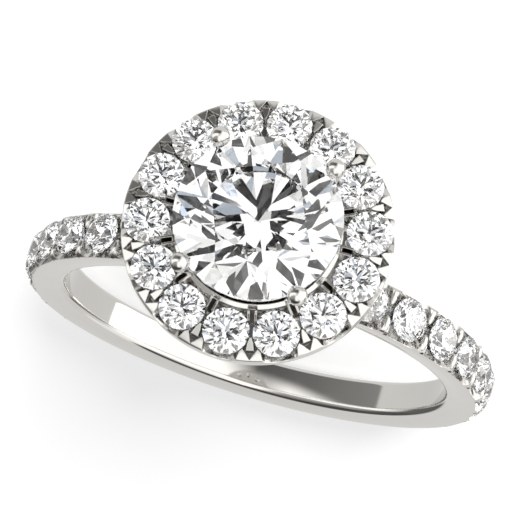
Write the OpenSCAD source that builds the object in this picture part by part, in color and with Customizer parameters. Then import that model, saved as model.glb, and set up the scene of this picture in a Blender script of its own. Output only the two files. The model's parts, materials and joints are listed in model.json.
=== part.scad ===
// Halo ring: a pave shank, a round halo plate on a four-claw basket, and 33 brilliant-cut stones.
// The ring is drawn round its finger axis first: X across, Y along the finger, +Z out to the head.
// place() then lays it on its side, where it rests on the halo rim and the back of the shank.

/* [Shank] */
// Diameter of the finger bore
bore_d = 17; // [14:0.1:22]
// Radial thickness of the shank
shank_t = 1.65; // [1.4:0.05:2.4]
// Width of the shank at the bore
shank_in_w = 1.64; // [1.5:0.02:2.2]
// Width of the shank at its widest, near the outside
shank_out_w = 1.92; // [1.84:0.02:2.6]
// Rounding of the two bore edges
bore_round = 0.14; // [0.06:0.02:0.3]
// Rounding of the two outer edges
outer_round = 0.24; // [0.1:0.02:0.4]

/* [Shank stones] */
// Diameter of the stones in the shank
pave_d = 1.7; // [1.2:0.05:1.9]
// Number of stones on each side of the head
pave_count = 9; // [4:1:11]
// Distance of the first stone from the head's axis
pave_first = 4.6; // [4.2:0.02:5.6]
// Angle by which both rows are turned round the finger, towards -X
pave_turn = 1.1; // [0:0.1:2]
// Gap between the girdles of neighbouring shank stones
pave_gap = 0.335; // [0.3:0.005:0.6]
// Depth of the girdles below the top of the shank
pave_sink = 0.06; // [0.04:0.02:0.3]
// Radius of the scallop under each stone, on the face of the shank
scallop_r = 0.68; // [0.6:0.02:0.8]
// Radius of the scallop inside the shank
scallop_throat_r = 0.5; // [0.4:0.02:0.58]
// Widening of the scallop from its throat to the face of the shank
scallop_flare = 0.3; // [0.1:0.02:0.4]
// Radius of the shared beads
bead_r = 0.19; // [0.12:0.01:0.24]
// How far the middle of a bead lies below the top of the shank
bead_sink = 0.02; // [0:0.01:0.08]
// Distance of a bead from the middle of the shank
bead_offset = 0.4; // [0.3:0.02:0.6]

/* [Halo] */
// Diameter of the halo stones
halo_stone_d = 1.68; // [1.3:0.02:1.7]
// Least gap between the girdles of neighbouring halo stones
halo_stone_gap = 0.08; // [0.06:0.01:0.2]
// Gap between the collar and the halo stones
halo_gap = 0.15; // [0.12:0.01:0.3]
// Height of the halo girdles above the top of the shank
head_rise = 4.2; // [3.6:0.05:5]
// How far the rim stands out past the halo stones
rim_out = 0.09; // [0.06:0.01:0.4]
// Thickness of the halo plate
halo_t = 0.9; // [0.8:0.05:1.6]
// How far the plate stands over the girdles, to hold the stones
halo_lip = 0.08; // [0.02:0.02:0.16]
// Bevel of the rim
rim_bevel = 0.16; // [0.06:0.02:0.24]
// Height of the lower bevel of the rim
rim_low_bevel = 0.22; // [0.1:0.02:0.3]
// Radius of the light hole under each halo stone
halo_window_r = 0.36; // [0.2:0.02:0.5]
// Radius of the scallop under each halo stone, at the rim
halo_scallop_r = 0.74; // [0.5:0.02:0.78]
// Radius of that scallop at its inner end
halo_scallop_in_r = 0.42; // [0.3:0.02:0.5]
// Distance of its inner end from the middle of the stone
halo_scallop_start = 0.34; // [0.2:0.02:0.6]
// Width of the slot between two stones at the inner edge
slot_w = 0.22; // [0.12:0.02:0.3]
// Length of that slot
slot_l = 0.4; // [0.2:0.02:0.5]
// Distance of that slot from the collar
halo_slot_in = 0.05; // [0.02:0.01:0.2]
// Width of the notch between the two tips of a fishtail prong
fishtail_w = 0.36; // [0.2:0.02:0.44]
// Length of that notch
fishtail_l = 0.46; // [0.3:0.02:0.5]
// Distance of that notch from the rim
fishtail_in = 0.14; // [0.1:0.02:0.24]
// Depth of that notch below the girdles
fishtail_depth = 0.36; // [0.2:0.02:0.5]

/* [Centre stone] */
// Diameter of the centre stone
centre_d = 6.06; // [5.4:0.02:6.2]
// Height of its girdle above the halo girdles
centre_rise = 1.05; // [0.9:0.05:1.6]

/* [Brilliant cut] */
// Table width, in percent of the diameter
table_pc = 56; // [50:1:64]
// Crown height, in percent of the diameter
crown_pc = 15.5; // [12:0.5:17]
// Pavilion depth, in percent of the diameter
pavilion_pc = 43; // [40:0.5:44]
// Girdle thickness, in percent of the diameter
girdle_pc = 4; // [3.6:0.2:5]
// Length of the star facets, in percent of the way from the table to the girdle
star_pc = 55; // [45:1:60]
// Length of the lower girdle facets, in percent of the way from the girdle to the culet
lower_pc = 76; // [70:1:82]

/* [Basket] */
// Angle between the claws and the X axis
claw_a = 48.7; // [40:0.1:52]
// Radius of the claw wires
claw_r = 0.33; // [0.26:0.01:0.38]
// Radius of the round claw tips
tip_r = 0.36; // [0.34:0.01:0.44]
// Distance of the tips from the head's axis, past the girdle
tip_out = 0.2; // [0.14:0.01:0.26]
// Height of the tips above the girdle
tip_rise = 0.3; // [0.2:0.02:0.4]
// Distance of the claw feet from the head's axis
foot_out = 0.95; // [0.7:0.05:1.1]
// Wall of the collar under the centre stone
collar_wall = 0.28; // [0.2:0.02:0.4]
// Gap between the collar and the girdle of the centre stone
collar_gap = 0.35; // [0.25:0.05:0.6]
// Height of the lower gallery ring above the shank
gallery_rise = 2; // [1.4:0.1:2.6]
// Radius of the gallery wire
gallery_r = 0.28; // [0.2:0.02:0.36]
// Radius of the foot that joins the basket to the shank
foot_r = 0.9; // [0.7:0.02:0.92]
// Depth of the foot in the shank
foot_depth = 0.6; // [0.3:0.05:0.9]
// Height of the foot above the shank
foot_rise = 0.4; // [0.2:0.05:0.8]

/* [Fit] */
// Clearance between a stone and its seat
seat_gap = 0.02; // [0.01:0.01:0.04]

/* [Hidden] */
bore_r = bore_d / 2;
shank_r = bore_r + shank_t;
pave_girdle_r = shank_r - pave_sink;
pave_start = asin(pave_first / pave_girdle_r);
pave_pitch = 2 * asin((pave_d + pave_gap) / 2 / pave_girdle_r);
centre_r = centre_d / 2;
collar_r = centre_r - seat_gap;
collar_in_r = collar_r - collar_wall;
halo_circle_r = collar_r + halo_gap + halo_stone_d / 2;
halo_r = halo_circle_r + halo_stone_d / 2 + rim_out;
halo_count = floor(180 / asin((halo_stone_d + halo_stone_gap) / 2 / halo_circle_r));
halo_step = 360 / halo_count;
halo_girdle_z = shank_r + head_rise;
halo_top_z = halo_girdle_z + halo_lip;
halo_low_z = halo_top_z - halo_t;
rim_low_z = halo_low_z + rim_low_bevel;
centre_z = halo_girdle_z + centre_rise;
collar_top_z = centre_z - collar_gap;
foot_z = shank_r - foot_depth;
claw_top = [centre_r + tip_out, centre_z + tip_rise];
claw_run = claw_top - [foot_out, foot_z];
gallery_z = shank_r + gallery_rise;
gallery_out = foot_out + (gallery_z - foot_z) * claw_run[0] / claw_run[1];
pave_range = [0:pave_count - 1];
halo_range = [0:halo_count - 1];
sides = [-1, 1];
// How far a cut runs past the face that it opens
past = 1;

// Resting pose: the line through the two points that touch the surface
shank_touch = [shank_out_w / 2, shank_r - outer_round];
rest_tilt = atan((halo_r - shank_touch[0]) / (rim_low_z + shank_touch[1]));
rest_lift = halo_r * cos(rest_tilt) - rim_low_z * sin(rest_tilt);
table_z = centre_z + girdle_half(centre_d) + crown_h(centre_d);
front_reach = table_z * cos(rest_tilt) + table_r(centre_d) * sin(rest_tilt);
back_reach = shank_r * cos(rest_tilt) + (shank_out_w / 2 - outer_round) * sin(rest_tilt);
rest_shift = (front_reach - back_reach) / 2;

// Proportions of a stone, from its diameter
function table_r(d) = d * table_pc / 200;
function crown_h(d) = d * crown_pc / 100;
function pavilion_h(d) = d * pavilion_pc / 100;
function girdle_half(d) = d * girdle_pc / 200;
function polar(r, a, z) = [r * cos(a), r * sin(a), z];
// A brilliant has this many bezel facets, and as many parts round its axis
mains = 8;
part_a = 360 / mains;

shank_stone_names = [for (side = ["left", "right"]) for (i = [1:pave_count])
    str("shank_stone_", side, "_", i)];
halo_stone_names = [for (i = [1:halo_count]) str("halo_stone_", i)];

// Lays the ring on its side, head to the front, with the face that shows upwards
module place() {
    translate([0, rest_shift, rest_lift])
        rotate([-rest_tilt, 0, 0])
            rotate([-90, 0, 180])
                children();
}

// Points of a quarter round in the corner of a section, from angle a to a + 90
function quarter(c, r, a) = [for (i = [0:4]) c + r * [cos(a + i * 22.5), sin(a + i * 22.5)]];

// Section of the shank: x is the distance from the finger axis, y runs along the finger
module shank_section() {
    in_w = shank_in_w / 2;
    out_w = shank_out_w / 2;
    upper = concat(
        quarter([shank_r - outer_round, out_w - outer_round], outer_round, 0),
        quarter([bore_r + bore_round, in_w - bore_round], bore_round, 90));
    lower = [for (i = [len(upper) - 1:-1:0]) [upper[i][0], -upper[i][1]]];
    polygon(concat(upper, lower));
}

// Turns its children out to one stone of the shank, with +Z away from the finger
module at_shank(side, i) {
    rotate([0, side * (pave_start + i * pave_pitch) - pave_turn, 0])
        translate([0, 0, pave_girdle_r])
            children();
}

// Room for one stone: its pavilion below, open above the girdle
module stone_seat(d) {
    r = d / 2 + seat_gap;
    g = girdle_half(d) + seat_gap;
    rotate_extrude($fn = 48)
        polygon([[0, -g - pavilion_h(d) - seat_gap], [r, -g], [r, past], [0, past]]);
}

// The cut through the shank under one stone: narrow inside, flared at both faces
module shank_scallop() {
    far = shank_out_w / 2 + scallop_flare;
    near = shank_out_w / 2 - scallop_flare;
    wide = 2 * scallop_r - scallop_throat_r;
    rotate([90, 0, 0])
        rotate_extrude($fn = 48)
            polygon([[0, -far], [wide, -far], [scallop_throat_r, -near],
                [scallop_throat_r, near], [wide, far], [0, far]]);
}

// Shared beads, two at each end of every shank stone
module shank_beads() {
    for (side = sides)
        for (i = [0:pave_count])
            rotate([0, side * (pave_start + (i - 0.5) * pave_pitch) - pave_turn, 0])
                for (k = sides)
                    translate([0, k * bead_offset, shank_r - bead_sink])
                        sphere(r = bead_r, $fn = 32);
}

module shank() {
    difference() {
        union() {
            rotate([-90, 0, 0])
                rotate_extrude($fn = 180)
                    shank_section();
            shank_beads();
        }
        for (side = sides)
            for (i = pave_range)
                at_shank(side, i) {
                    stone_seat(pave_d);
                    shank_scallop();
                }
    }
}

// Turns its children to one stone of the halo, or with a half step to the gap beside it
module at_halo(i) {
    rotate([0, 0, 90 + i * halo_step])
        children();
}

// The cut in the rim under one halo stone, flared outwards
module halo_scallop() {
    rim = halo_r - halo_circle_r;
    flare = (halo_scallop_r - halo_scallop_in_r) / (rim - halo_scallop_start);
    translate([halo_scallop_start, 0, halo_lip])
        rotate([0, 90, 0])
            cylinder(r1 = halo_scallop_in_r, r2 = halo_scallop_r + flare * past,
                h = rim - halo_scallop_start + past, $fn = 48);
}

// The hole that lets light in under one halo stone
module halo_window() {
    translate([0, 0, -halo_t - past])
        cylinder(r = halo_window_r, h = halo_t + past, $fn = 32);
}

// The slot between two halo stones at the inner edge
module halo_slot() {
    translate([collar_r + halo_slot_in, -slot_w / 2, halo_low_z - past])
        cube([slot_l, slot_w, halo_t + 2 * past]);
}

// The V notch between the two tips of a fishtail prong
module fishtail_notch() {
    translate([halo_r - fishtail_in, 0, halo_girdle_z - fishtail_depth])
        linear_extrude(fishtail_depth + past)
            polygon([[0, 0], [-fishtail_l, fishtail_w / 2], [-fishtail_l, -fishtail_w / 2]]);
}

module halo_plate() {
    difference() {
        rotate_extrude($fn = 120)
            polygon([[collar_in_r, halo_low_z], [halo_r - rim_bevel, halo_low_z],
                [halo_r, rim_low_z], [halo_r, halo_top_z - rim_bevel],
                [halo_r - rim_bevel, halo_top_z], [collar_in_r, halo_top_z]]);
        for (i = halo_range) {
            at_halo(i)
                translate([halo_circle_r, 0, halo_girdle_z]) {
                    stone_seat(halo_stone_d);
                    halo_scallop();
                    halo_window();
                }
            at_halo(i + 0.5) {
                halo_slot();
                fishtail_notch();
            }
        }
    }
}

// One claw, from its foot in the shank to its round tip over the girdle
module claw() {
    translate([foot_out, 0, foot_z])
        rotate([0, atan(claw_run[0] / claw_run[1]), 0])
            cylinder(r = claw_r, h = norm(claw_run), $fn = 32);
    translate([claw_top[0], 0, claw_top[1]])
        sphere(r = tip_r, $fn = 32);
}

// The collar that stands through the halo plate, under the centre stone
module collar() {
    difference() {
        translate([0, 0, halo_low_z])
            cylinder(r = collar_r, h = collar_top_z - halo_low_z, $fn = 96);
        translate([0, 0, halo_low_z - past])
            cylinder(r = collar_in_r, h = collar_top_z - halo_low_z + 2 * past, $fn = 96);
    }
}

module basket() {
    translate([0, 0, foot_z])
        cylinder(r = foot_r, h = foot_depth + foot_rise, $fn = 48);
    translate([0, 0, gallery_z])
        rotate_extrude($fn = 96)
            translate([gallery_out, 0])
                circle(r = gallery_r, $fn = 32);
    collar();
    for (a = [claw_a, 180 - claw_a, 180 + claw_a, -claw_a])
        rotate([0, 0, a])
            claw();
}

// Room for the centre stone, which the claws and the collar keep clear of
module centre_seat() {
    r = centre_r + seat_gap;
    g = girdle_half(centre_d) + seat_gap;
    top = g + crown_h(centre_d);
    rotate_extrude($fn = 96)
        polygon([[0, -g - pavilion_h(centre_d) - seat_gap], [r, -g], [r, g],
            [table_r(centre_d) + seat_gap, top], [0, top + past]]);
}

module ring_mount() {
    color("gainsboro")
        place()
            difference() {
                union() {
                    shank();
                    halo_plate();
                    basket();
                }
                translate([0, 0, centre_z])
                    centre_seat();
            }
}

// A round brilliant with its girdle at z = 0. Each of its parts has a bezel facet at its start,
// a star tip and a lower girdle tip half a part on, and n girdle corners.
module brilliant(d, n) {
    r = d / 2;
    g = girdle_half(d);
    table = table_r(d);
    table_edge = table * cos(part_a / 2);
    star_r = table_edge + (r - table_edge) * star_pc / 100;
    low_r = r * (1 - lower_pc / 100);
    top_z = g + crown_h(d);
    culet_z = -g - pavilion_h(d);
    // The bezel and pavilion facets are flat, so they set the heights of the tips on them
    star_z = top_z - (star_r * cos(part_a / 2) - table) * crown_h(d) / (r - table);
    low_z = culet_z + low_r * cos(part_a / 2) * pavilion_h(d) / r;
    // The girdle's edge dips between the corners, where the flat facets beside it reach furthest out
    facet_in = cos(part_a / 4);
    up = (star_z - g) / ((r - star_r) * facet_in);
    down = (low_z + g) / ((r - low_r) * facet_in);
    dip = [for (m = [0:n - 1]) r * (cos(part_a * (min(m, n - m) / n - 1 / 4)) - facet_in)];
    half_n = n / 2;
    corners = mains * n;
    parts = [0:mains - 1];
    points = concat(
        [for (k = parts) polar(table, k * part_a, top_z)],
        [for (k = parts) polar(star_r, (k + 0.5) * part_a, star_z)],
        [for (k = parts) for (m = [0:n - 1]) polar(r, (k + m / n) * part_a, g - dip[m] * up)],
        [for (k = parts) for (m = [0:n - 1]) polar(r, (k + m / n) * part_a, -g - dip[m] * down)],
        [for (k = parts) polar(low_r, (k + 0.5) * part_a, low_z)],
        [[0, 0, culet_z]]);
    // Numbers of the first point of each ring: star, upper and lower girdle, low and culet
    S = mains;
    U = S + mains;
    D = U + corners;
    L = D + corners;
    C = L + mains;
    faces = concat(
        [[for (k = parts) mains - 1 - k]],
        [for (k = parts) [k, (k + 1) % mains, S + k]],
        [for (k = parts) [k, S + k, U + k * n, S + (k + mains - 1) % mains]],
        [for (k = parts) concat([S + k], [for (m = [half_n:-1:0]) U + k * n + m])],
        [for (k = parts) concat([S + k], [for (m = [n:-1:half_n]) U + (k * n + m) % corners])],
        [for (m = [0:corners - 1]) [U + m, U + (m + 1) % corners, D + (m + 1) % corners, D + m]],
        [for (k = parts) concat([L + k], [for (m = [0:half_n]) D + k * n + m])],
        [for (k = parts) concat([L + k], [for (m = [half_n:n]) D + (k * n + m) % corners])],
        [for (k = parts) [L + k, C, L + (k + mains - 1) % mains, D + k * n]]);
    polyhedron(points = points, faces = faces);
}

module centre_stone() {
    color("white")
        place()
            translate([0, 0, centre_z])
                rotate([0, 0, 90])
                    brilliant(centre_d, 4);
}

module halo_stone(i) {
    color("white")
        place()
            at_halo(i)
                translate([halo_circle_r, 0, halo_girdle_z])
                    brilliant(halo_stone_d, 2);
}

module shank_stone(side, i) {
    color("white")
        place()
            at_shank(side, i)
                brilliant(pave_d, 2);
}

ring_mount();
centre_stone();
for (i = halo_range)
    halo_stone(i);
for (s = [0, 1])
    for (i = pave_range)
        shank_stone(sides[s], i);
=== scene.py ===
# %% [markdown]
# # A halo ring, dressed for the shop window
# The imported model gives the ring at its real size: a cast mount and 33 cut stones. This lesson gives it
# the polish that sells it. The stones keep their solids, because a brilliant is nothing but its facets.
# The mount is made again with finer rounds than a solid model needs, since polished metal is seen only
# through what it reflects, and a coarse surface would break every reflection.

# %% The frame
import json
import math

import bmesh
import bpy
from mathutils import Matrix, Vector


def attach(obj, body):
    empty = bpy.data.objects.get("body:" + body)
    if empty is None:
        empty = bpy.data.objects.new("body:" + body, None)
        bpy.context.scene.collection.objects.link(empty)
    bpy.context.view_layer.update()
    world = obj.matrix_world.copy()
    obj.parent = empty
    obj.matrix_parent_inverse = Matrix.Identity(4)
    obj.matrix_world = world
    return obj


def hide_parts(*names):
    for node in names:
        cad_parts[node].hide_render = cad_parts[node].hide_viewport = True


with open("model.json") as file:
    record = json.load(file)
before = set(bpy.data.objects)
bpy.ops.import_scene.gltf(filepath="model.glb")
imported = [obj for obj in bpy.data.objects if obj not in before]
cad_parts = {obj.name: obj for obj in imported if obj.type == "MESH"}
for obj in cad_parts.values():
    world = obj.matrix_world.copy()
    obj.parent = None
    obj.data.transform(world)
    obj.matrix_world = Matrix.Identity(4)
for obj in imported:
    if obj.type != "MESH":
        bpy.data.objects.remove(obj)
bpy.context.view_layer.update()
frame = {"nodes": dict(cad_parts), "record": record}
print("nodes in the frame:", len(frame["nodes"]))

# %% [markdown]
# A ring has a natural frame of its own: the finger runs along Y, and the head stands out along +Z.
# On the shelf it lies on its side, leaning a little on the rim of its halo. The bore in the record says
# where that frame is, so every piece below is drawn in millimetres round the finger and laid down last.

# %% The ring's own axes
MM = 0.001
bore = frame["record"]["mounts"][0]
ring_y = -Vector(bore["axis"])
ring_x = Vector((-1, 0, 0))
ring_z = ring_x.cross(ring_y)
RING = Matrix((ring_x, ring_y, ring_z)).transposed().to_4x4()
RING.translation = Vector(bore["pos_m"])
RING_MM = RING @ Matrix.Scale(MM, 4)
TO_RING_MM = RING_MM.inverted()
print(f"the ring leans {math.degrees(math.asin(ring_z.z)):.1f} degrees")

# %% [markdown]
# The photograph looks into the head from above, with a long lens and the camera rolled. The camera was
# found by matching the bore, the claw tips and the halo stones, and it is written here as a place and an
# aim in the ring's own frame, in millimetres. The roll then turns the camera round its own line of sight.

# %% Where the lens stands
EYE = Vector((5.61, -19.16, 76.53))
AIM = Vector((0.05, 0.09, 10.0))
ROLL = math.radians(17.22)

forward = (AIM - EYE).normalized()
level = forward.cross(Vector((0, 1, 0))).normalized()
raised = level.cross(forward)
right = level * math.cos(ROLL) + raised * math.sin(ROLL)
upward = right.cross(forward)
print(f"the lens is {(AIM - EYE).length:.1f} mm from its aim")

# %% [markdown]
# A camera looks along its own -Z, so its three axes are set as the columns of a matrix. A constraint that
# tracks an empty would aim it as well, but it wouldn't keep the roll.

# %% The camera
LENS_MM, SENSOR_MM = 126.43, 36
NEAR_M, FAR_M = 0.001, 5

camera_data = bpy.data.cameras.new("camera")
camera_data.lens = LENS_MM
camera_data.sensor_width = SENSOR_MM
camera_data.clip_start = NEAR_M
camera_data.clip_end = FAR_M
camera = bpy.data.objects.new("camera", camera_data)
bpy.context.scene.collection.objects.link(camera)
turn = Matrix((right, upward, -forward)).transposed().to_4x4()
camera.matrix_world = RING @ Matrix.Translation(EYE * MM) @ turn
bpy.context.scene.camera = camera
print("the camera stands", round(camera.matrix_world.translation.z / MM), "mm above the floor")

# %% [markdown]
# Each stone already sits where the jeweller set it. The mesh of a stone says where its girdle is, so
# nothing about the setting has to be typed twice: the angles of the seats come from the stones.

# %% The stones' places


def middle(node):
    """The middle of a stone, in the ring's own axes and millimetres."""
    corners = [TO_RING_MM @ v.co for v in frame["nodes"][node].data.vertices]
    return sum(corners, Vector()) / len(corners)


shank_stones = sorted(n for n in frame["nodes"] if n.startswith("shank_stone"))
halo_stones = sorted(n for n in frame["nodes"] if n.startswith("halo_stone"))
shank_angles = sorted(math.atan2(m.x, m.z) for m in map(middle, shank_stones))
halo_angles = sorted(math.atan2(m.y, m.x) for m in map(middle, halo_stones))
row_pitch = abs(shank_angles[1] - shank_angles[0])
halo_step = 2 * math.pi / len(halo_stones)
print(len(shank_angles), "stones in the shank,", len(halo_angles), "in the halo")

# %% [markdown]
# The shank is a band with a flat inside, sides that flare a little and rounded edges. The bright line
# along the bore and the dark one beside it in the photograph are nothing but that small round edge, so
# it gets many steps. The section is drawn as one half and mirrored, as a maker files both sides alike.

# %% The shank's section
BORE_R = bore["dims"]["r_mm"]
SHANK_R = BORE_R + 1.65
IN_HALF, OUT_HALF = 0.82, 0.96
BORE_ROUND, OUTER_ROUND = 0.3, 0.26
BULGE = 0.025
BULGE_AT = (0.2, 0.35, 0.5, 0.65, 0.8)


def arc(centre_r, centre_h, radius, start, end, steps):
    """Points of an arc in an outline of (radius, height), with its angles in degrees."""
    angles = [math.radians(start + (end - start) * i / steps) for i in range(steps + 1)]
    return [(centre_r + radius * math.cos(a), centre_h + radius * math.sin(a)) for a in angles]


outer_side = Vector((SHANK_R - OUTER_ROUND, OUT_HALF))
inner_side = Vector((BORE_R + BORE_ROUND, IN_HALF))
swell = [Vector((0, BULGE * math.sin(math.pi * t))) for t in BULGE_AT]
side_points = [outer_side.lerp(inner_side, t) + out for t, out in zip(BULGE_AT, swell)]
half_section = (
    arc(SHANK_R - OUTER_ROUND, OUT_HALF - OUTER_ROUND, OUTER_ROUND, 0, 90, 10)
    + [tuple(p) for p in side_points]
    + arc(BORE_R + BORE_ROUND, IN_HALF - BORE_ROUND, BORE_ROUND, 90, 180, 12)
)
section = half_section + [(r, -h) for r, h in reversed(half_section)]
print("the section has", len(section), "points")

# %% [markdown]
# Most of a ring is turned work, and so is this mesh: an outline is spun round an axis, as on a lathe. A
# screw modifier could spin it too. A small function is used here, because the same spin also makes every
# seat, claw and bead below. The band is spun round Z and then laid so that its axis is the finger.

# %% The band
BAND_STEPS = 480
ROUND_Y = Matrix.Rotation(math.radians(-90), 4, "X")


def facing_out(mesh):
    """Turns the faces of a closed mesh outwards."""
    bmesh.ops.recalc_face_normals(mesh, faces=mesh.faces)
    if mesh.calc_volume(signed=True) < 0:
        bmesh.ops.reverse_faces(mesh, faces=mesh.faces)
    return mesh


def turned(outline, steps, closed=False, place=Matrix()):
    """Spins an outline round Z. One that starts and ends at radius 0 is closed by itself."""
    mesh = bmesh.new()
    rows = []
    for r, h in outline:
        angles = [2 * math.pi * i / steps for i in range(steps)] if r else [0]
        points = [place @ Vector((r * math.cos(a), r * math.sin(a), h)) for a in angles]
        rows.append([mesh.verts.new(point) for point in points])
    pairs = list(zip(rows, rows[1:])) + ([(rows[-1], rows[0])] if closed else [])
    for lower, upper in pairs:
        for i in range(steps):
            j = (i + 1) % steps
            corners = [row[k % len(row)] for row, k in ((lower, i), (lower, j), (upper, j), (upper, i))]
            mesh.faces.new(list(dict.fromkeys(corners)))
    return facing_out(mesh)


def piece(name, meshes):
    """One object from one or several meshes."""
    joined = bmesh.new()
    for mesh in meshes:
        part = bpy.data.meshes.new("part")
        mesh.to_mesh(part)
        mesh.free()
        joined.from_mesh(part)
        bpy.data.meshes.remove(part)
    data = bpy.data.meshes.new(name)
    joined.to_mesh(data)
    joined.free()
    obj = bpy.data.objects.new(name, data)
    bpy.context.scene.collection.objects.link(obj)
    return obj


shank = piece("ring_mount_polished", [turned(section, BAND_STEPS, closed=True, place=ROUND_Y)])
print("band:", len(shank.data.polygons), "faces")

# %% [markdown]
# A setter cuts a seat for each stone with a cone-shaped burr, so the seat here is a cone that is taken
# from the band. A boolean modifier does it, with the manifold solver, which is quick and keeps a closed
# mesh closed. The result is read back at once, so the next tool cuts a plain mesh. The seat leaves a gap
# of two hundredths of a millimetre round the stone.

# %% The shank's seats
STONE_R, SEAT_GAP = 0.85, 0.02
GIRDLE_DEPTH = 0.06
PAVILION_SHARE, GIRDLE_SHARE = 0.9, 0.04
SEAT_OPENING = 1
SEAT_STEPS = 64


def work(body, operation, tool):
    """Cuts the tool from the body or joins it on, and throws the tool away."""
    modifier = body.modifiers.new("work", "BOOLEAN")
    modifier.operation = operation
    modifier.solver = "MANIFOLD"
    modifier.object = tool
    evaluated = body.evaluated_get(bpy.context.evaluated_depsgraph_get())
    result = bpy.data.meshes.new_from_object(evaluated)
    body.modifiers.clear()
    old = body.data
    body.data = result
    bpy.data.meshes.remove(old)
    bpy.data.objects.remove(tool)


def at_shank(angle, radius=SHANK_R - GIRDLE_DEPTH):
    """A place on the shank, at an angle from the head, with its Z pointing away from the finger."""
    return Matrix.Rotation(angle, 4, "Y") @ Matrix.Translation((0, 0, radius))


def seat(stone_r, opening):
    """The room that a burr cuts for one stone: a cone for the pavilion, open above the girdle."""
    r = stone_r + SEAT_GAP
    deep = stone_r * PAVILION_SHARE + SEAT_GAP * 2
    return [(0, -deep), (r, -stone_r * GIRDLE_SHARE - SEAT_GAP), (r, opening), (0, opening)]


seats = [turned(seat(STONE_R, SEAT_OPENING), SEAT_STEPS, place=at_shank(a)) for a in shank_angles]
work(shank, "DIFFERENCE", piece("seats", seats))
print("with its seats:", len(shank.data.polygons), "faces")

# %% [markdown]
# Under each stone the side of the band is cut away in a U, so that light gets in and the stone looks as
# if it hangs between its prongs. A file held at a slant makes that cut, from each side by itself. Here it
# is a flat U that is raised into a prism and leans inwards. Near the end of each row it is shallower.

# %% The side cuts
CUT_FLOOR_R = 9.9
CUT_LEAN = math.radians(25)
CUT_HALF, CUT_RISE, CUT_OPEN = 0.9, 0.13, -1
CUT_ROUND, CUT_ROUND_X, CUT_ROUND_Y = 0.4, 0.5, -0.27
CUT_OUT, CUT_IN = 0.4, 1.0
SHALLOW_FROM, SHALLOW_OVER = math.radians(90), math.radians(25)
SHALLOWER = 0.08


def prism(outline, low, high, place):
    """A flat outline of (x, y) points, raised from low to high in its place."""
    mesh = bmesh.new()
    floor_verts = [mesh.verts.new(place @ Vector((x, y, low))) for x, y in outline]
    roof_verts = [mesh.verts.new(place @ Vector((x, y, high))) for x, y in outline]
    mesh.faces.new(floor_verts)
    mesh.faces.new(roof_verts)
    for i, corner in enumerate(floor_verts):
        j = (i + 1) % len(outline)
        mesh.faces.new([corner, floor_verts[j], roof_verts[j], roof_verts[i]])
    return facing_out(mesh)


def cut_place(angle, side):
    """Where the cut into one side lies under a stone."""
    shallow = SHALLOWER * min(max(abs(angle) - SHALLOW_FROM, 0) / SHALLOW_OVER, 1)
    rim = at_shank(angle, CUT_FLOOR_R + shallow) @ Matrix.Translation((0, side * OUT_HALF, 0))
    return rim @ Matrix.Rotation(side * CUT_LEAN, 4, "X") @ Matrix.Translation((0, 0, CUT_RISE)) @ ROUND_Y


left_round = [(-x, y) for x, y in arc(CUT_ROUND_X, CUT_ROUND_Y, CUT_ROUND, 0, 90, 8)]
right_round = arc(CUT_ROUND_X, CUT_ROUND_Y, CUT_ROUND, 90, 0, 8)
side_cut = [(-CUT_HALF, CUT_OPEN)] + left_round + right_round + [(CUT_HALF, CUT_OPEN)]
for side in (-1, 1):
    low, high = sorted((CUT_OUT * side, -CUT_IN * side))
    cuts = [prism(side_cut, low, high, cut_place(a, side)) for a in shank_angles]
    work(shank, "DIFFERENCE", piece("side_cuts", cuts))
print("with its side cuts:", len(shank.data.polygons), "faces")

# %% [markdown]
# At the head's side of each cut the photograph shows a small dark dot, where the point of a drill went
# in before the file. It is a short round hole in each side face. Nothing else is needed to make it dark,
# because a narrow hole in polished metal reflects only itself.

# %% The drill dots
DOT_R, DOT_HALF, DOT_AT_R = 0.085, 0.3, 9.95
DOT_AHEAD = math.radians(5.0)
DOT_STEPS = 20

dot = [(0, -DOT_HALF), (DOT_R, -DOT_HALF), (DOT_R, DOT_HALF), (0, DOT_HALF)]
dots = []
for a in shank_angles:
    for y in (-OUT_HALF, OUT_HALF):
        ahead = at_shank(a - math.copysign(DOT_AHEAD, a), DOT_AT_R)
        dots.append(turned(dot, DOT_STEPS, place=ahead @ Matrix.Translation((0, y, 0)) @ ROUND_Y))
work(shank, "DIFFERENCE", piece("dots", dots))
print("drill dots:", len(dots))

# %% [markdown]
# Between the stones the top of the band is opened into a groove, and only thin walls are left at both
# sides to raise the beads from. The groove has a section of its own and follows the finger from the first
# stone of a row to the last, so it is swept over that stretch and closed at both ends.

# %% The groove under the stones
GROOVE_FLOOR, GROOVE_FLOOR_HALF = 0.5, 0.3
GROOVE_LIP, GROOVE_HALF, GROOVE_TOP = 0.16, 0.62, 1
GROOVE_STEPS = 120


def swept(outline, start, end, steps):
    """A closed outline of (radius, y) swept round the finger, between two angles from the head."""
    mesh = bmesh.new()
    rows = []
    for i in range(steps + 1):
        a = start + (end - start) * i / steps
        rows.append([mesh.verts.new((r * math.sin(a), y, r * math.cos(a))) for r, y in outline])
    for first, second in zip(rows, rows[1:]):
        for i in range(len(outline)):
            j = (i + 1) % len(outline)
            mesh.faces.new([first[i], first[j], second[j], second[i]])
    mesh.faces.new(rows[0])
    mesh.faces.new(rows[-1])
    return facing_out(mesh)


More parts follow.
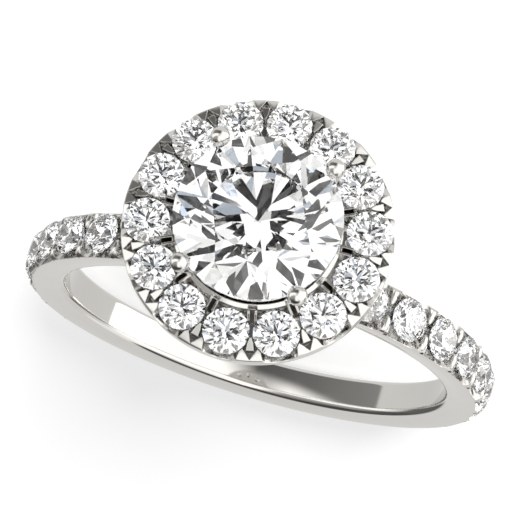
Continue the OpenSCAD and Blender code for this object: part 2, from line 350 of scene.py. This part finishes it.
groove = [
    (SHANK_R - GROOVE_FLOOR, -GROOVE_FLOOR_HALF),
    (SHANK_R - GROOVE_FLOOR, GROOVE_FLOOR_HALF),
    (SHANK_R - GROOVE_LIP, GROOVE_HALF),
    (SHANK_R + GROOVE_TOP, GROOVE_HALF),
    (SHANK_R + GROOVE_TOP, -GROOVE_HALF),
    (SHANK_R - GROOVE_LIP, -GROOVE_HALF),
]
for side in (-1, 1):
    row = [a for a in shank_angles if a * side > 0]
    first, last = sorted((min(row) - row_pitch / 2, max(row) + row_pitch / 2))
    work(shank, "DIFFERENCE", piece("groove", [swept(groove, first, last, GROOVE_STEPS)]))
print("with its grooves:", len(shank.data.polygons), "faces")

# %% [markdown]
# Two neighbouring stones share their beads: little lumps of metal that the setter pushes over both
# girdles. They are long rather than round, and lie across the band. One half circle is spun into a ball
# and drawn out along the finger, so that each bead is a smooth closed body before it is joined on.

# %% The beads
BEAD_R, BEAD_LONG, BEAD_OUT = 0.15, 0.34, 0.55
BEAD_SINK = 0.09
BEAD_STEPS = 24

ends = sorted({round(a + s * row_pitch / 2, 4) for a in shank_angles for s in (-1, 1)})
ball = [(0, -1)] + arc(0, 0, 1, -90, 90, 16)[1:-1] + [(0, 1)]
bead = [(r * BEAD_R, h * BEAD_LONG) for r, h in ball]
beads = []
for a in ends:
    for y in (-BEAD_OUT, BEAD_OUT):
        place = at_shank(a, SHANK_R - BEAD_SINK) @ Matrix.Translation((0, y, 0)) @ ROUND_Y
        beads.append(turned(bead, BEAD_STEPS, place=place))
work(shank, "UNION", piece("beads", beads))
print(len(beads), "beads, shank:", len(shank.data.polygons), "faces")

# %% [markdown]
# The halo is a thin round plate that carries its stones like a crown. Its outline goes from the collar
# over a low valley, up to a lip and down a rounded rim. The heights all start from the girdles of the
# halo stones, because those are what the eye compares.

# %% The halo's plate
HALO_CIRCLE_R, HALO_R = 4.0, 4.93
GIRDLE_Z = SHANK_R + 4.2
VALLEY_Z, LOW_Z, TIP_Z = GIRDLE_Z - 0.34, GIRDLE_Z - 0.82, GIRDLE_Z - 0.055
COLLAR_R, COLLAR_IN_R = 3.01, 2.73
LIP_R, LIP_IN_R, LIP_ROUND, LIP_SINK = 4.48, 4.64, 0.06, 0.03
RIM_ROUND, RIM_DROP, UNDER_ROUND = 0.09, 0.2, 0.2
PLATE_STEPS = 360

plate_outline = (
    [(COLLAR_IN_R, VALLEY_Z), (LIP_IN_R, VALLEY_Z)]
    + arc(LIP_R, TIP_Z - LIP_SINK, LIP_ROUND, 150, 70, 5)
    + arc(HALO_R - RIM_ROUND, GIRDLE_Z - RIM_DROP, RIM_ROUND, 70, 0, 6)
    + arc(HALO_R - UNDER_ROUND, LOW_Z + UNDER_ROUND, UNDER_ROUND, 0, -90, 8)
    + [(COLLAR_IN_R, LOW_Z)]
)
halo = piece("halo", [turned(plate_outline, PLATE_STEPS, closed=True)])
print("plate:", len(halo.data.polygons), "faces")

# %% [markdown]
# A narrow deep moat runs round the collar, and it is what draws the black line round the centre stone.
# It is spun like the plate. Between the stones small square grips stand in it and hold their inner edges.

# %% The moat and the grips
MOAT_IN, MOAT_OUT, MOAT_DEEP, MOAT_TOP = 0.02, 0.3, 0.4, 0.2
MOAT_STEPS = 240
GRIP_SIZE, GRIP_OUT, GRIP_DOWN = (0.52, 0.34, 0.9), 0.24, 0.31


def at_halo(angle, radius=HALO_CIRCLE_R, height=GIRDLE_Z):
    """A place on the halo, with its X pointing outwards."""
    return Matrix.Rotation(angle, 4, "Z") @ Matrix.Translation((radius, 0, height))


def block(size, place):
    """A box of that size, centred on its place."""
    mesh = bmesh.new()
    bmesh.ops.create_cube(mesh, size=1, matrix=place @ Matrix.Diagonal((*size, 1)))
    return mesh


moat = [
    (COLLAR_R + MOAT_IN, VALLEY_Z - MOAT_DEEP),
    (COLLAR_R + MOAT_OUT, VALLEY_Z - MOAT_DEEP),
    (COLLAR_R + MOAT_OUT, VALLEY_Z + MOAT_TOP),
    (COLLAR_R + MOAT_IN, VALLEY_Z + MOAT_TOP),
]
work(halo, "DIFFERENCE", piece("moat", [turned(moat, MOAT_STEPS, closed=True)]))
gaps = [a + halo_step / 2 for a in halo_angles]
grips = [block(GRIP_SIZE, at_halo(a, COLLAR_R + GRIP_OUT, GIRDLE_Z - GRIP_DOWN)) for a in gaps]
work(halo, "UNION", piece("grips", grips))
print(len(gaps), "grips, halo:", len(halo.data.polygons), "faces")

# %% [markdown]
# A halo stone is held by claws that lean over its crown, so its room is the stone's own shape grown by
# the gap. A second tool then opens the plate above and below each stone, where no claw should be left.

# %% Room for the halo stones
HALO_STONE_R = 0.84
TABLE_SHARE, CROWN_SHARE = 0.56, 0.35
OPENING = [(0, -0.6), (0.5, -0.6), (0.8, -0.4), (0.8, 1), (0, 1)]


def stone_room(stone_r):
    """The room of one stone under claws that lean over its crown."""
    r = stone_r + SEAT_GAP
    crown = stone_r * CROWN_SHARE + SEAT_GAP
    return [
        (0, -stone_r * PAVILION_SHARE - SEAT_GAP * 2),
        (r, -stone_r * GIRDLE_SHARE - SEAT_GAP),
        (r, stone_r * GIRDLE_SHARE + SEAT_GAP),
        (stone_r * TABLE_SHARE + SEAT_GAP, crown),
        (0, crown),
    ]


rooms = [turned(stone_room(HALO_STONE_R), SEAT_STEPS, place=at_halo(a)) for a in halo_angles]
work(halo, "DIFFERENCE", piece("rooms", rooms))
openings = [turned(OPENING, SEAT_STEPS, place=at_halo(a)) for a in halo_angles]
work(halo, "DIFFERENCE", piece("openings", openings))
print("with its rooms:", len(halo.data.polygons), "faces")

# %% [markdown]
# The rim is scalloped: a round cutter comes in from outside over each stone and leaves a point of metal
# between two stones. Neighbouring cutters overlap, and the solver wants tools that don't touch each
# other, so every second scallop is cut first and the others after it.

# %% The scalloped rim
SCALLOP_RISE = 0.36
RIM_SCALLOP = [(0, 0.34), (0.76, 0.34), (0.8, 0.9), (0.84, 1.74), (0, 1.74)]
TO_RIM = Matrix.Rotation(math.radians(90), 4, "Y")

for some in (halo_angles[::2], halo_angles[1::2]):
    places = [at_halo(a, height=GIRDLE_Z + SCALLOP_RISE) @ TO_RIM for a in some]
    cuts = [turned(RIM_SCALLOP, SEAT_STEPS, place=place) for place in places]
    work(halo, "DIFFERENCE", piece("scallops", cuts))
print("with its scallops:", len(halo.data.polygons), "faces")

# %% [markdown]
# The points of the rim end in fishtails. A V is cut into each point from inside, and a small wedge that
# slopes outwards lies in it, so that the photograph's light triangle stands between two dark lines.

# %% The fishtails
NOTCH_TIP_R, NOTCH_BACK_R, NOTCH_HALF = 4.88, 4.1, 0.55
NOTCH_LOW, NOTCH_HIGH = 0.02, 1
WEDGE = [(-0.23, 0.03), (-0.23, -0.03), (-0.03, -0.1), (0.23, -0.14), (0.23, 0.14), (-0.03, 0.1)]
WEDGE_LOW, WEDGE_TOP, WEDGE_R = -0.5, 0.06, 4.33
WEDGE_SLOPE = math.radians(13)

notch = [(NOTCH_TIP_R, 0), (NOTCH_BACK_R, NOTCH_HALF), (NOTCH_BACK_R, -NOTCH_HALF)]
notches = [prism(notch, VALLEY_Z + NOTCH_LOW, TIP_Z + NOTCH_HIGH, Matrix.Rotation(a, 4, "Z")) for a in gaps]
work(halo, "DIFFERENCE", piece("notches", notches))
sloping = Matrix.Rotation(WEDGE_SLOPE, 4, "Y")
wedges = [prism(WEDGE, WEDGE_LOW, WEDGE_TOP, at_halo(a, WEDGE_R) @ sloping) for a in gaps]
work(halo, "UNION", piece("wedges", wedges))
print("with its fishtails:", len(halo.data.polygons), "faces")

# %% [markdown]
# A saw slot splits each grip into two prongs, and a light hole goes through the plate under each stone.
# Both are straight cuts, so plain boxes and cylinders are enough, and one boolean takes them all.

# %% The slots and the light holes
SLOT_SIZE, SLOT_OUT = (0.42, 0.17, 1.5), 0.31
LIGHT_HOLE = [(0, -2), (0.44, -2), (0.44, 0), (0, 0)]
HOLE_STEPS = 32

slots = [block(SLOT_SIZE, at_halo(a, COLLAR_R + SLOT_OUT, GIRDLE_Z)) for a in gaps]
light_holes = [turned(LIGHT_HOLE, HOLE_STEPS, place=at_halo(a)) for a in halo_angles]
work(halo, "DIFFERENCE", piece("slots", slots + light_holes))
print("halo:", len(halo.data.polygons), "faces")

# %% [markdown]
# The collar stands inside the halo and shows under the centre stone as a thin white band. That band is a
# small lip with a rounded edge, which turns upwards and catches the light, and a groove behind it keeps
# it from melting into the stone.

# %% The collar
CENTRE_Z = GIRDLE_Z + 1.05
BAND_R, BAND_ROUND = 3.07, 0.03
COLLAR_STEPS = 240

collar_top = CENTRE_Z - 0.95
collar_outline = (
    [(COLLAR_IN_R, LOW_Z), (COLLAR_R, LOW_Z), (COLLAR_R, collar_top - 0.24), (BAND_R, collar_top - 0.2)]
    + arc(BAND_R - BAND_ROUND, collar_top - 0.13, BAND_ROUND, 0, 60, 4)
    + [(BAND_R - 0.17, collar_top - 0.03), (BAND_R - 0.18, collar_top - 0.4)]
    + [(BAND_R - 0.28, collar_top - 0.4), (BAND_R - 0.29, collar_top - 0.1)]
    + [(COLLAR_IN_R, collar_top - 0.1)]
)
work(halo, "UNION", piece("collar", [turned(collar_outline, COLLAR_STEPS, closed=True)]))
print("with its collar:", len(halo.data.polygons), "faces")

# %% [markdown]
# Four claws rise from the shank and lean outwards to the girdle of the centre stone. A claw is a round
# wire whose end is melted into a ball, so its outline is a straight line and an arc, spun and leaned.

# %% The claws
CENTRE_R = 3.03
CLAW_R, TIP_R, TIP_LONG = 0.33, 0.36, 0.5
CLAW_A = 48.7
CLAW_STEPS = 48

claw_foot = Vector((0.95, 0, SHANK_R - 0.6))
claw_top = Vector((CENTRE_R + 0.2, 0, CENTRE_Z + 0.3))
claw_l = (claw_top - claw_foot).length
claw_lean = math.atan2(claw_top.x - claw_foot.x, claw_top.z - claw_foot.z)
tip = arc(0, claw_l, TIP_R, -60, 90, 14)
claw_outline = [(0, 0), (CLAW_R, 0), (CLAW_R, claw_l - TIP_LONG)] + tip[:-1] + [(0, claw_l + TIP_R)]
leaning = Matrix.Translation(claw_foot) @ Matrix.Rotation(claw_lean, 4, "Y")
claw_angles = [math.radians(a) for a in (CLAW_A, 180 - CLAW_A, 180 + CLAW_A, -CLAW_A)]
claws = [turned(claw_outline, CLAW_STEPS, place=Matrix.Rotation(a, 4, "Z") @ leaning) for a in claw_angles]
work(halo, "UNION", piece("claws", claws))
print(f"the claws are {claw_l:.2f} mm long and lean {math.degrees(claw_lean):.1f} degrees")

# %% [markdown]
# The centre stone's room is cut after the claws are on, as a setter notches them, so their tips fold over
# the girdle. Below it a gallery wire ties the claws together, and a short foot stands on the shank.

# %% The centre stone's room, the gallery and the foot
CENTRE_ROOM = [(0, -2.77), (3.05, -0.14), (3.05, 0.14), (1.72, 1.08), (0, 2.1)]
CENTRE_STEPS = 128
GALLERY_RISE, GALLERY_WIRE_R, GALLERY_STEPS = 2, 0.28, 96
FOOT_R, FOOT_DOWN, FOOT_UP, FOOT_STEPS = 0.9, 0.6, 0.4, 64

centre_room = turned(CENTRE_ROOM, CENTRE_STEPS, place=Matrix.Translation((0, 0, CENTRE_Z)))
work(halo, "DIFFERENCE", piece("room", [centre_room]))
gallery_z = SHANK_R + GALLERY_RISE
gallery_r = claw_foot.x + (gallery_z - claw_foot.z) * math.tan(claw_lean)
wire = arc(gallery_r, gallery_z, GALLERY_WIRE_R, 0, 345, 23)
work(halo, "UNION", piece("gallery", [turned(wire, GALLERY_STEPS, closed=True)]))
foot_low, foot_high = SHANK_R - FOOT_DOWN, SHANK_R + FOOT_UP
foot_outline = [(0, foot_low), (FOOT_R, foot_low), (FOOT_R, foot_high), (0, foot_high)]
work(halo, "UNION", piece("foot", [turned(foot_outline, FOOT_STEPS)]))
print("head:", len(halo.data.polygons), "faces")

# %% [markdown]
# The head is soldered to the shank, and one solid of metal comes out of it. It is laid down on the floor
# only now. Smooth shading with sharp edges above a limit keeps the long polished faces free of bands, and
# weighted normals let the big faces win over the slivers that the cuts left.

# %% One mount
SHARP_FROM = math.radians(32)

work(shank, "UNION", halo)
mount = shank
mount.data.transform(RING_MM)
mount.data.shade_smooth()
mount.data.set_sharp_from_angle(angle=SHARP_FROM)
even = mount.modifiers.new("even", "WEIGHTED_NORMAL")
even.keep_sharp = True
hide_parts("ring_mount")
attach(mount, "root")
print("mount:", len(mount.data.polygons), "faces")

# %% [markdown]
# White gold is plated with a bright white metal and buffed. A perfect mirror looks like chrome, so the
# finish starts from a fine noise: it varies the roughness and the tint a little, as a buffing wheel does.

# %% The buffed finish
WHEEL_MARKS, WHEEL_DETAIL = 900, 3
SMOOTHEST, ROUGHEST = 0.03, 0.09
TINTS = ((0.70, 0.685, 0.66, 1), (0.74, 0.73, 0.71, 1))


def buffed(nodes, links, shader):
    """Varies the roughness of the metal and returns its tint."""
    place = nodes.new("ShaderNodeTexCoord")
    marks = nodes.new("ShaderNodeTexNoise")
    marks.inputs["Scale"].default_value = WHEEL_MARKS
    marks.inputs["Detail"].default_value = WHEEL_DETAIL
    links.new(place.outputs["Object"], marks.inputs["Vector"])
    rough = nodes.new("ShaderNodeMapRange")
    rough.inputs["To Min"].default_value = SMOOTHEST
    rough.inputs["To Max"].default_value = ROUGHEST
    links.new(marks.outputs["Fac"], rough.inputs["Value"])
    links.new(rough.outputs["Result"], shader.inputs["Roughness"])
    tint = nodes.new("ShaderNodeValToRGB")
    for element, colour in zip(tint.color_ramp.elements, TINTS):
        element.color = colour
    links.new(marks.outputs["Fac"], tint.inputs[0])
    return tint.outputs["Color"]


print("roughness from", SMOOTHEST, "to", ROUGHEST)

# %% [markdown]
# Shade is painted into the bottoms of the cuts. Ambient occlusion measures how closed in a point is,
# within less than half a millimetre, and a dark colour is mixed in there as painted shade.

# %% Painted shade in the recesses
RECESS_SEEN_MM, RECESS_SAMPLES = 0.42, 6
CLOSED, OPEN = 0.12, 0.44
# painted shade: the dark colour that is mixed into the metal where it is closed in
PAINTED_SHADE_COLOUR = (0.02, 0.018, 0.015, 1)


def with_painted_shade(nodes, links, tint):
    """Paints shade: mixes a dark colour into the tint where the metal is closed in."""
    recess = nodes.new("ShaderNodeAmbientOcclusion")
    recess.samples = RECESS_SAMPLES
    recess.inputs["Distance"].default_value = RECESS_SEEN_MM * MM
    open_part = nodes.new("ShaderNodeMapRange")
    open_part.inputs["From Min"].default_value = CLOSED
    open_part.inputs["From Max"].default_value = OPEN
    links.new(recess.outputs["AO"], open_part.inputs["Value"])
    shade = nodes.new("ShaderNodeMix")
    shade.data_type = "RGBA"
    shade.inputs[6].default_value = PAINTED_SHADE_COLOUR
    links.new(open_part.outputs["Result"], shade.inputs[0])
    links.new(tint, shade.inputs[7])
    return shade.outputs[2]


print("recesses are looked for within", RECESS_SEEN_MM, "mm")

# %% [markdown]
# No edge of a real ring is razor sharp. The bevel node rounds the normals over a few hundredths of a
# millimetre, which costs no geometry and gives each cut its thin line of light. The three steps are then
# put together in one metal.

# %% White gold
EDGE_ROUND_MM, EDGE_SAMPLES = 0.045, 4


def white_gold():
    mat = bpy.data.materials.new("polished_white_gold")
    mat.use_nodes = True
    nodes, links = mat.node_tree.nodes, mat.node_tree.links
    shader = nodes["Principled BSDF"]
    shader.inputs["Metallic"].default_value = 1.0
    tint = buffed(nodes, links, shader)
    # the tint gets painted shade in the recesses before it goes into the metal
    links.new(with_painted_shade(nodes, links, tint), shader.inputs["Base Color"])
    bevel = nodes.new("ShaderNodeBevel")
    bevel.samples = EDGE_SAMPLES
    bevel.inputs["Radius"].default_value = EDGE_ROUND_MM * MM
    links.new(bevel.outputs["Normal"], shader.inputs["Normal"])
    return mat


GOLD = white_gold()
mount.data.materials.clear()
mount.data.materials.append(GOLD)
print("the metal has", len(GOLD.node_tree.nodes), "nodes")

# %% [markdown]
# Diamond bends light more than any other clear stone, and its refractive index of 2.417 is most of its
# look. Flat shading is a must: each facet is a mirror of its own. A large stone shows larger dark facets
# than a small one, so the centre stone gets a darker copy of the diamond, less clear and less glossy:
# painted shade that keeps its facets dark.

# %% Diamond
DIAMOND_IOR = 2.417


def diamond(name, clarity, gloss):
    """Cut diamond, with the same clarity and gloss in all colours."""
    mat = bpy.data.materials.new(name)
    mat.use_nodes = True
    shader = mat.node_tree.nodes["Principled BSDF"]
    shader.inputs["Base Color"].default_value = (clarity, clarity, clarity, 1)
    shader.inputs["Roughness"].default_value = 0.0
    shader.inputs["IOR"].default_value = DIAMOND_IOR
    shader.inputs["Specular Tint"].default_value = (gloss, gloss, gloss, 1)
    shader.inputs["Transmission Weight"].default_value = 1.0
    return mat


SMALL_DIAMOND = diamond("diamond_small", 1.0, 1.0)
# the centre stone's copy is darker and less glossy as painted shade
CENTRE_DIAMOND_SHADED = diamond("diamond_centre", 0.8, 0.5)
for name, node in frame["nodes"].items():
    node.data.materials.clear()
    stone_mat = CENTRE_DIAMOND_SHADED if name == "centre_stone" else SMALL_DIAMOND
    node.data.materials.append(GOLD if name == "ring_mount" else stone_mat)
    node.data.shade_flat()
print(len(frame["nodes"]) - 1, "stones are diamond")

# %% [markdown]
# A jeweller's photograph has a ground so white that only the shadow shows. A lit white sheet would need a
# light that burns out the metal, so the sheet glows a little by itself and the lamp only adds the shadow's
# edge. Metal and stones don't see the sheet, because the room painted below is all that they reflect.

# %% The floor
HALF_FLOOR_M = 0.6
SHEET_GREY, SHEET_ROUGH, SHEET_GLOSS, SHEET_GLOW = 0.5, 0.6, 0.1, 0.69

floor_mesh = bpy.data.meshes.new("floor")
corners = [(x * HALF_FLOOR_M, y * HALF_FLOOR_M, 0) for x, y in ((-1, -1), (1, -1), (1, 1), (-1, 1))]
floor_mesh.from_pydata(corners, [], [(0, 1, 2, 3)])
floor = bpy.data.objects.new("floor", floor_mesh)
bpy.context.scene.collection.objects.link(floor)
floor_mat = bpy.data.materials.new("floor_white")
floor_mat.use_nodes = True
sheet = floor_mat.node_tree.nodes["Principled BSDF"]
sheet.inputs["Base Color"].default_value = (SHEET_GREY, SHEET_GREY, SHEET_GREY, 1)
sheet.inputs["Roughness"].default_value = SHEET_ROUGH
sheet.inputs["Specular IOR Level"].default_value = SHEET_GLOSS
sheet.inputs["Emission Color"].default_value = (1, 1, 1, 1)
sheet.inputs["Emission Strength"].default_value = SHEET_GLOW
floor_mesh.materials.append(floor_mat)
floor.visible_glossy = False
floor.visible_transmission = False
print("the sheet is", 2 * HALF_FLOOR_M, "m wide")

# %% [markdown]
# Polished metal shows the room, so the room is most of the work. It is painted in the world by direction:
# how far round a direction lies, and how high. Both come from its three parts, with a few maths nodes.

# %% Directions in the room
world = bpy.data.worlds.new("studio")
bpy.context.scene.world = world
world.use_nodes = True
wn, wl = world.node_tree.nodes, world.node_tree.links


def maths(operation, *values):
    """A maths node. A value may be a number or another node's socket."""
    node = wn.new("ShaderNodeMath")
    node.operation = operation
    for i, value in enumerate(values):
        if isinstance(value, (int, float)):
            node.inputs[i].default_value = value
        else:
            wl.new(value, node.inputs[i])
    return node.outputs[0]


look = wn.new("ShaderNodeTexCoord").outputs["Generated"]
parts = wn.new("ShaderNodeSeparateXYZ")
wl.new(look, parts.inputs[0])
height = parts.outputs["Z"]
around = maths("ARCTAN2", parts.outputs["X"], maths("MULTIPLY", parts.outputs["Y"], -1))
azimuth = maths("ADD", maths("DIVIDE", around, 2 * math.pi), 0.5)
print("azimuth 0 is where the head points, and 90 is along +X")

# %% [markdown]
# At one height the room is a strip of bright screens and dark gaps, and a colour ramp over the azimuth
# paints it. The stops are degrees and brightness, chosen so that the inner wall of the shank
# shows its white window and its dark card where the photograph has them. The grey is a little warm.

# %% The strips of the room
WARMTH = (1, 0.99, 0.97)


def set_stops(ramp, stops):
    """Gives a colour ramp its stops of position and colour."""
    elements = ramp.color_ramp.elements
    while len(elements) < len(stops):
        elements.new(0.5)
    for element, (position, colour) in zip(elements, stops):
        element.position = position
        element.color = (*colour, 1)


def grey(value):
    return tuple(value * part for part in WARMTH)


def strip(stops):
    """Brightness round the room, from stops of azimuth and brightness."""
    ramp = wn.new("ShaderNodeValToRGB")
    set_stops(ramp, [((angle + 180) / 360, grey(value)) for angle, value in stops])
    wl.new(azimuth, ramp.inputs[0])
    return ramp.outputs["Color"]


UNDER = grey(0.42)
BELOW = [
    (-180, 0.40), (-150, 0.37), (-99, 0.40), (-98, 1.8), (-72, 1.6), (-62, 0.74), (-20, 0.74), (-4, 0.28),
    (3, 0.06), (8, 0.06), (84, 0.15), (86, 0.4), (150, 0.36), (180, 0.4),
]
HORIZON = [
    (-180, 0.39), (-156, 0.36), (-148, 0.06), (-106, 0.06), (-92, 0.75), (-15, 0.75), (0, 0.4), (12, 0.4),
    (25, 0.7), (92, 0.7), (108, 0.4), (122, 0.08), (160, 0.06), (169, 0.39),
]
MIDDLE = [
    (-180, 0.39), (-112, 0.40), (-92, 0.75), (-15, 0.75), (0, 0.4), (12, 0.4),
    (25, 0.7), (92, 0.7), (108, 0.4), (122, 0.08), (160, 0.06), (169, 0.39),
]
ABOVE = [
    (-180, 0.35), (-150, 0.5), (-105, 0.6), (-60, 0.8), (10, 0.7), (28, 0.25),
    (95, 0.2), (120, 0.05), (165, 0.05), (180, 0.35),
]
OVERHEAD = [(-180, 0.03), (-110, 0.05), (-60, 0.6), (12, 0.75), (35, 0.2), (120, 0.03)]
print("stops in the lowest strip:", len(BELOW))

# %% [markdown]
# The strips are stacked from the floor to the ceiling. Between two of them the height fades one into the
# other, because a hard line there would show as a scratch in the metal.

# %% The room that the metal sees


def between(value, low, high):
    """Fades from 0 to 1 while the value goes from low to high."""
    edge = wn.new("ShaderNodeMapRange")
    edge.interpolation_type = "SMOOTHSTEP"
    edge.inputs["From Min"].default_value = low
    edge.inputs["From Max"].default_value = high
    wl.new(value, edge.inputs["Value"])
    return edge.outputs["Result"]


def blend(amount, first, second):
    """Mixes two colours. Each may be a colour or another node's socket."""
    mix = wn.new("ShaderNodeMix")
    mix.data_type = "RGBA"
    wl.new(amount, mix.inputs[0])
    for socket, colour in ((mix.inputs[6], first), (mix.inputs[7], second)):
        if isinstance(colour, tuple):
            socket.default_value = (*colour, 1)
        else:
            wl.new(colour, socket)
    return mix.outputs[2]


STACK = [
    (-0.75, -0.6, BELOW),
    (-0.09, 0.0, HORIZON),
    (0.08, 0.14, MIDDLE),
    (0.38, 0.48, ABOVE),
    (0.72, 0.8, OVERHEAD),
]
room = UNDER
for low, high, stops in STACK:
    room = blend(between(height, low, high), room, strip(stops))
print("strips stacked:", len(STACK))

# %% [markdown]
# A diamond needs contrast: many small lights and darks that its facets break up. A screen cut into random
# panels gives it that, from cells of a Voronoi texture whose random colour picks a tone. Most are light,
# and a few are dark or faintly blue. The seed of the cells is their place, so each run gives the same.

# %% The panels that the stones see
PANEL_SCALE, PANEL_SHIFT = 3.4, (0.8, 0.4, 0.2)
PANEL_TONES = [
    (0, (0.001, 0.001, 0.001)),
    (0.085, (0.06, 0.06, 0.05)),
    (0.1, (0.17, 0.165, 0.12)),
    (0.125, (0.28, 0.31, 0.35)),
    (0.16, (0.44, 0.44, 0.43)),
    (0.26, (0.58, 0.58, 0.57)),
    (0.42, (0.76, 0.76, 0.76)),
    (0.95, (0.5, 0.57, 0.68)),
]

shifted = wn.new("ShaderNodeVectorMath")
shifted.inputs[1].default_value = PANEL_SHIFT
wl.new(look, shifted.inputs[0])
panels = wn.new("ShaderNodeTexVoronoi")
panels.inputs["Scale"].default_value = PANEL_SCALE
panels.inputs["Randomness"].default_value = 1
wl.new(shifted.outputs[0], panels.inputs["Vector"])
channel = wn.new("ShaderNodeSeparateXYZ")
wl.new(panels.outputs["Color"], channel.inputs[0])
tones = wn.new("ShaderNodeValToRGB")
tones.color_ramp.interpolation = "CONSTANT"
set_stops(tones, PANEL_TONES)
wl.new(channel.outputs["X"], tones.inputs[0])
print("tones of the panels:", len(PANEL_TONES))

# %% [markdown]
# In a real shot the lens itself is the darkest thing before the stone, and the stone's facets send it
# back as the black arrows of a good cut. A dark disc in the direction of the photograph's lens does this.
# It stays in that direction when another view is taken, as a lens hood on a stand would.

# %% The dark of the lens
LENS_DISC, LENS_DISC_EDGE = 15, 1
LENS_DARK = (0.01, 0.01, 0.01)
HEAD_M = Vector((0, 0, 0.015))

to_lens = (camera.matrix_world.translation - RING @ HEAD_M).normalized()
lens_dot = wn.new("ShaderNodeVectorMath")
lens_dot.operation = "DOT_PRODUCT"
lens_dot.inputs[1].default_value = to_lens
wl.new(look, lens_dot.inputs[0])
disc_edge = math.cos(math.radians(LENS_DISC + LENS_DISC_EDGE))
disc_full = math.cos(math.radians(LENS_DISC))
disc = between(lens_dot.outputs["Value"], disc_edge, disc_full)
stone_sky = blend(disc, tones.outputs["Color"], LENS_DARK)
print(f"the lens stands {math.degrees(math.asin(to_lens.z)):.1f} degrees above the floor")

# %% [markdown]
# The three parts are joined by the kind of ray: rays that reflect from metal see the strips, rays that
# passed through a stone see the panels, and rays from the matt floor see a dim even fill. The world isn't
# sampled as a lamp, since that would send the strips' light onto the floor whatever the ray.

# %% The whole room
FLOOR_FILL = (0.1, 0.1, 0.1)
ROOM_STRENGTH = 2.0

ray = wn.new("ShaderNodeLightPath")
room = blend(ray.outputs["Is Transmission Ray"], room, stone_sky)
room = blend(ray.outputs["Is Diffuse Ray"], room, FLOOR_FILL)
wl.new(room, wn["Background"].inputs["Color"])
wn["Background"].inputs["Strength"].default_value = ROOM_STRENGTH
world.cycles.sampling_method = "NONE"
print("the world has", len(wn), "nodes")

# %% [markdown]
# One low window lights the sheet and gives the ring its soft shadow, which runs down and to the left in
# the picture. A sun lamp with a wide angle is the simplest window: its light is even over the whole
# sheet. Metal and stones don't see it, so that it adds no spot to them.

# %% The window
WINDOW_AZIMUTH, WINDOW_HEIGHT = math.radians(-11), math.radians(10)
WINDOW_ENERGY, WINDOW_WIDTH = 10.5, math.radians(15)

window_data = bpy.data.lights.new("window", "SUN")
window_data.energy = WINDOW_ENERGY
window_data.angle = WINDOW_WIDTH
window = bpy.data.objects.new("window", window_data)
bpy.context.scene.collection.objects.link(window)
level_part = math.cos(WINDOW_HEIGHT)
to_window = Vector((
    math.sin(WINDOW_AZIMUTH) * level_part,
    -math.cos(WINDOW_AZIMUTH) * level_part,
    math.sin(WINDOW_HEIGHT),
))
window.rotation_euler = to_window.to_track_quat("Z", "Y").to_euler()
window.visible_glossy = False
window.visible_transmission = False
print("the window stands towards", [round(v, 2) for v in to_window])

# %% [markdown]
# Light bounces many times inside a brilliant before it leaves, and a path that is cut short turns a facet
# black. So the stones get many bounces. The plain view transform keeps the white sheet white.

# %% Bounces and tones
STONE_BOUNCES, METAL_BOUNCES = 24, 12

bpy.context.scene.view_settings.view_transform = "Standard"
bpy.context.scene.cycles.max_bounces = STONE_BOUNCES
bpy.context.scene.cycles.transmission_bounces = STONE_BOUNCES
bpy.context.scene.cycles.glossy_bounces = METAL_BOUNCES
print("bounces:", STONE_BOUNCES, "in the stones,", METAL_BOUNCES, "on the metal")
